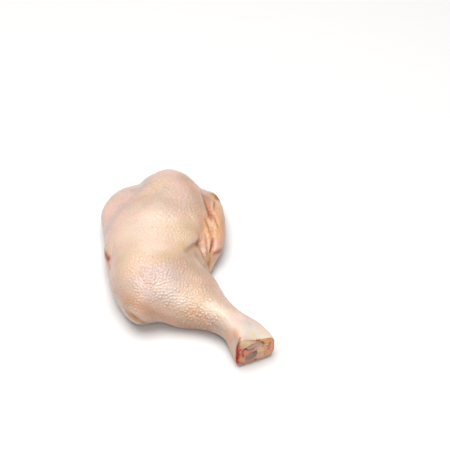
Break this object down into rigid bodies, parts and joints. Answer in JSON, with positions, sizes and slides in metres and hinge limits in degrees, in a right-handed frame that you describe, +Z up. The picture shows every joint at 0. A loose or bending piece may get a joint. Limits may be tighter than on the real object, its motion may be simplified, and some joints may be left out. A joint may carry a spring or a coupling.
{
  "type": "raw chicken leg, thigh with drumstick",
  "caption": "Raw chicken thigh with its drumstick, skin side up: loose flap of skin at the side, bare meat underneath, cut joint end with the bone showing.",
  "frame": {"origin": "on the table, under the middle of the leg's box", "axes": "+X towards the side with the loose flap of skin and the cut end of the drumstick, +Y from the cut end towards the hip, +Z up from the table"},
  "size_m": [0.1252, 0.1742, 0.0437],
  "materials": {
    "skin": "pale pink and cream raw skin, moist satin with fine bumps",
    "meat": "raw red-pink meat, wet",
    "bone": "bluish white gristle and bone, wet"
  },
  "bodies": {
    "root": {"skin": "skin", "meat": "meat", "shin_bone": "bone"}
  },
  "joints": []
}
